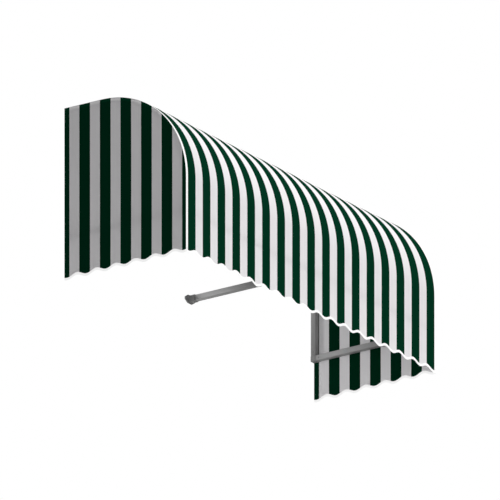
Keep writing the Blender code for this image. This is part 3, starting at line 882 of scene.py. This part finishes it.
def add_screw(bm, seat, direction):
    """A pan-head screw. Its head stands on seat, and its shank runs in direction."""
    one = bmesh.new()
    raised = Matrix.Translation((0, 0, HEAD_HEIGHT / 2))
    bmesh.ops.create_cone(
        one, cap_ends=True, segments=24, radius1=HEAD_RADIUS,
        radius2=HEAD_RADIUS * HEAD_TAPER, depth=HEAD_HEIGHT, matrix=raised,
    )
    rim = [edge for edge in one.edges if all(vert.co.z > HEAD_HEIGHT / 2 for vert in edge.verts)]
    bmesh.ops.bevel(one, geom=rim, offset=RIM_ROUND, segments=3, profile=0.5, affect="EDGES", material=-1)
    socket = outermost(one, UP)
    flat_radius = max(vert.co.xy.length for vert in socket.verts)
    bmesh.ops.inset_region(one, faces=[socket], thickness=flat_radius - SOCKET_RADIUS, use_even_offset=True)
    for vert in socket.verts:
        lobes = 1 + LOBE_DEPTH * math.cos(6 * math.atan2(vert.co.y, vert.co.x))
        vert.co.x *= lobes
        vert.co.y *= lobes
    pull(one, socket, Vector((0, 0, -SOCKET_DEPTH)))
    under = outermost(one, -UP)
    bmesh.ops.inset_region(one, faces=[under], thickness=HEAD_RADIUS - SHANK_RADIUS, use_even_offset=True)
    pull(one, under, Vector((0, 0, -SHANK_LENGTH)))
    turn = (-direction).to_track_quat("Z", "Y").to_matrix()
    bmesh.ops.rotate(one, verts=one.verts, cent=(0, 0, 0), matrix=turn)
    bmesh.ops.translate(one, verts=one.verts, vec=seat)
    mesh = bpy.data.meshes.new("one_screw")
    one.to_mesh(mesh)
    one.free()
    bm.from_mesh(mesh)
    bpy.data.meshes.remove(mesh)


SCREW_OUT = 0.022


def screw_direction(centre, arm):
    """The way a joint's screw is driven: upwards or outwards into the bars, sideways into other tubes."""
    if arm.x:
        return UP if centre.z > arm_z / 2 else OUT
    return LEFT if centre.x < 0 else RIGHT


for node, (centre, arms) in joints.items():
    bm = bmesh.new()
    for arm in arms:
        into = screw_direction(centre, arm)
        add_screw(bm, centre + arm * (CUBE / 2 + SCREW_OUT) - into * TUBE / 2, into)
    add_piece("screws_" + node, bm, tube_coat)

steel_screws = ["clamp_screw_%d" % number for number in range(1, 7)]
steel_screws += ["bracket_screw_" + word for word in ("left", "middle", "right")]
steel_screws += ["clip_screw_left", "clip_screw_right", "foot_screw"]
for node in steel_screws:
    low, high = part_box(node)
    middle = (low + high) / 2
    if node.startswith("clamp"):
        into, seat = -UP, Vector((middle.x, middle.y, high.z - HEAD_HEIGHT))
    elif node.startswith("clip"):
        into = Vector((math.copysign(1, middle.x), 0, 0))
        head_face = low.x if middle.x > 0 else high.x
        seat = Vector((head_face, middle.y, middle.z)) + into * HEAD_HEIGHT
    else:
        into, seat = UP, Vector((middle.x, middle.y, low.z + HEAD_HEIGHT))
    bm = bmesh.new()
    add_screw(bm, seat, into)
    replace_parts(add_piece(node + "_steel", bm, stainless), node)
print("sets of joint screws:", len(joints))

# %% [markdown]
# ## Webbing loops
#
# Loops of flat webbing, sewn to the inside of the cover, go round the front bar and the side arms. A loop
# is the same bevelled cube as a tube, only short and wide open, with its wall added outwards. Webbing can't
# turn a sharp corner, so its corners are rounder than the tube's.

# %% Make the webbing loops
WEBBING = 0.0012
WEBBING_GAP = 0.0003
WEBBING_CORNER = 0.0034


def webbing_loop(name, node):
    low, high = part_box(node)
    size = high - low
    axis = min(range(3), key=lambda i: size[i])
    inner = TUBE + 2 * WEBBING_GAP
    direction = Vector([1.0 if i == axis else 0.0 for i in range(3)])
    bm = bmesh.new()
    cloth_map = bm.loops.layers.uv.new(MAP_NAME)
    bmesh.ops.create_cube(bm, size=1, matrix=Matrix.Diagonal((inner, inner, size[axis], 1)))
    long_edges = [edge for edge in bm.edges if abs(edge.verts[0].co.z - edge.verts[1].co.z) > size[axis] / 2]
    bmesh.ops.bevel(
        bm, geom=long_edges, offset=WEBBING_CORNER, segments=5, profile=0.5, affect="EDGES", material=-1
    )
    bm.normal_update()
    ends = [face for face in bm.faces if abs(face.normal.z) > 0.9]
    bmesh.ops.delete(bm, geom=ends, context="FACES_ONLY")
    for face in bm.faces:
        for loop in face.loops:
            run = math.atan2(loop.vert.co.y, loop.vert.co.x) * inner * 2 / math.pi
            loop[cloth_map].uv = (loop.vert.co.z, run)
    bmesh.ops.rotate(bm, verts=bm.verts, cent=(0, 0, 0), matrix=direction.to_track_quat("Z", "Y").to_matrix())
    bmesh.ops.translate(bm, verts=bm.verts, vec=(low + high) / 2)
    piece = add_piece(name, bm, black_webbing)
    shell = piece.modifiers.new("webbing", "SOLIDIFY")
    shell.thickness = WEBBING
    shell.offset = 1
    shell.use_even_offset = True
    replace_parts(piece, node)


loops = {"front_strap_loop_%d" % number: "front_strap_%d" % number for number in range(1, 5)}
loops.update({"side_strap_loop_" + word: "side_strap_" + word for word in ("left", "right")})
for name, node in loops.items():
    webbing_loop(name, node)
print("webbing loops:", len(loops))

# %% [markdown]
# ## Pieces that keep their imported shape
#
# The foot of the middle arm, the angle plates and the clamp bar are already right, so they stay as they are
# and only get their materials.

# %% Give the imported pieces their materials
kept = {
    "wall_foot": cast_coat, "head_bracket_left": zinc_plate, "head_bracket_middle": zinc_plate,
    "head_bracket_right": zinc_plate, "upright_clip_left": zinc_plate, "upright_clip_right": zinc_plate,
    "head_clamp_bar": drawn_aluminium,
}
for node, finish in kept.items():
    for material_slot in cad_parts[node].material_slots:
        material_slot.material = finish
print("kept pieces:", len(kept))

# %% [markdown]
# ## Floor, light and camera
#
# An awning hangs above head height, so the floor lies well below it. The floor is pale and matt. The light
# is that of a plain studio: a broad key light from the front and above, fills from the left, the right and
# the back, and an even surround. The left fill comes from below the horizon and stands for light that a
# pavement throws up, so the floor itself is only seen: it throws no light back and blocks none. Suns with a
# wide angle act as very large softboxes: they light both ends of a long object alike. One lamp stands
# behind, where the wall would be, and lights the inside of the cover.

# %% Floor
FLOOR_Z = -3.4
FLOOR_REACH = 20
floor_bm = bmesh.new()
bmesh.ops.create_grid(floor_bm, x_segments=8, y_segments=8, size=FLOOR_REACH)
bmesh.ops.translate(floor_bm, verts=floor_bm.verts, vec=(0, 0, FLOOR_Z))
floor_mesh = bpy.data.meshes.new("studio_floor")
floor_bm.to_mesh(floor_mesh)
floor_bm.free()
floor = bpy.data.objects.new("studio_floor", floor_mesh)
bpy.context.scene.collection.objects.link(floor)
floor_finish, floor_shader = new_finish("pale_matt_floor", Roughness=0.95, Specular_IOR_Level=0.1)
floor_place = add_node(floor_finish, "TexCoord").outputs["Object"]
floor_noise = add_node(
    floor_finish, "TexNoise", {"Scale": 2.0, "Detail": 3.0}, {"Vector": floor_place}
).outputs["Fac"]
floor_tone = add_node(
    floor_finish, "Mix", {"data_type": "RGBA", 6: linear("#CFCFCF"), 7: linear("#D3D3D2")}, {0: floor_noise}
).outputs[2]
join(floor_finish, floor_tone, floor_shader, "Base Color")
floor_mesh.materials.append(floor_finish)
floor.visible_shadow = False
floor.visible_diffuse = False
floor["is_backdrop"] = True
print("floor at", FLOOR_Z)

# %% Lights
SURROUND = 0.27
INSIDE_WATTS = 26


def add_sun(name, direction, strength, angle):
    """A broad, soft light from direction. At strength 1, a white surface that faces it looks white."""
    lamp = bpy.data.lights.new(name, "SUN")
    lamp.energy = strength * math.pi
    lamp.angle = math.radians(angle)
    light = bpy.data.objects.new(name, lamp)
    light.rotation_mode = "QUATERNION"
    light.rotation_quaternion = Vector(direction).to_track_quat("Z", "Y")
    bpy.context.scene.collection.objects.link(light)
    return light


add_sun("key_light", (0.0, -0.6225, 0.7826), 1.043, 25)
add_sun("left_fill", (-0.77, -0.54, -0.342), 0.188, 40)
add_sun("right_fill", (0.95, -0.2, 0.25), 0.60, 40)
add_sun("back_fill", (0.1, 0.95, 0.2), 0.20, 40)

inside_lamp = bpy.data.lights.new("inside_light", "AREA")
inside_lamp.shape = "RECTANGLE"
inside_lamp.size, inside_lamp.size_y = 0.8, 1.2
inside_lamp.energy = INSIDE_WATTS
inside_light = bpy.data.objects.new("inside_light", inside_lamp)
inside_light.location = (-0.9, 2.2, -0.6)
inside_light.rotation_mode = "QUATERNION"
RIGHT_WING_MIDDLE = Vector((1.33, -0.45, -0.8))
inside_light.rotation_quaternion = (inside_light.location - RIGHT_WING_MIDDLE).to_track_quat("Z", "Y")
inside_light.visible_camera = False
bpy.context.scene.collection.objects.link(inside_light)

world = bpy.data.worlds.new("white_surround")
bpy.context.scene.world = world
world.use_nodes = True
surround = world.node_tree
background = surround.nodes["Background"]
background.inputs["Color"].default_value = (1.0, 1.0, 1.0, 1.0)
background.inputs["Strength"].default_value = SURROUND
backdrop = surround.nodes.new("ShaderNodeBackground")
backdrop.inputs["Color"].default_value = (1.0, 1.0, 1.0, 1.0)
backdrop.inputs["Strength"].default_value = 1.0
seen = surround.nodes.new("ShaderNodeLightPath")
choose = surround.nodes.new("ShaderNodeMixShader")
surround.links.new(seen.outputs["Is Camera Ray"], choose.inputs[0])
surround.links.new(background.outputs[0], choose.inputs[1])
surround.links.new(backdrop.outputs[0], choose.inputs[2])
surround.links.new(choose.outputs[0], surround.nodes["World Output"].inputs["Surface"])
bpy.context.scene.view_settings.view_transform = "Standard"

# %% Camera
AZIMUTH, ELEVATION = math.radians(-55), math.radians(-20)
PICTURE_HEIGHT = 3.0666
AIM = Vector((0.3467, -0.2117, -0.4467))
CAMERA_DISTANCE = 3.2
towards_camera = Vector(
    (math.sin(AZIMUTH) * math.cos(ELEVATION), -math.cos(AZIMUTH) * math.cos(ELEVATION), math.sin(ELEVATION))
)
lens = bpy.data.cameras.new("camera")
lens.type = "ORTHO"
lens.ortho_scale = PICTURE_HEIGHT
camera = bpy.data.objects.new("camera", lens)
camera.location = AIM + towards_camera * CAMERA_DISTANCE
camera.rotation_mode = "QUATERNION"
camera.rotation_quaternion = towards_camera.to_track_quat("Z", "Y")
bpy.context.scene.collection.objects.link(camera)
bpy.context.scene.camera = camera
print("camera at", [round(value, 3) for value in camera.location])

# %% [markdown]
# ## The finished model's box
#
# The finished model must fill the same box as the frame. Here the box of the finished model is found.

# %% Find the finished model's box
low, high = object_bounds()
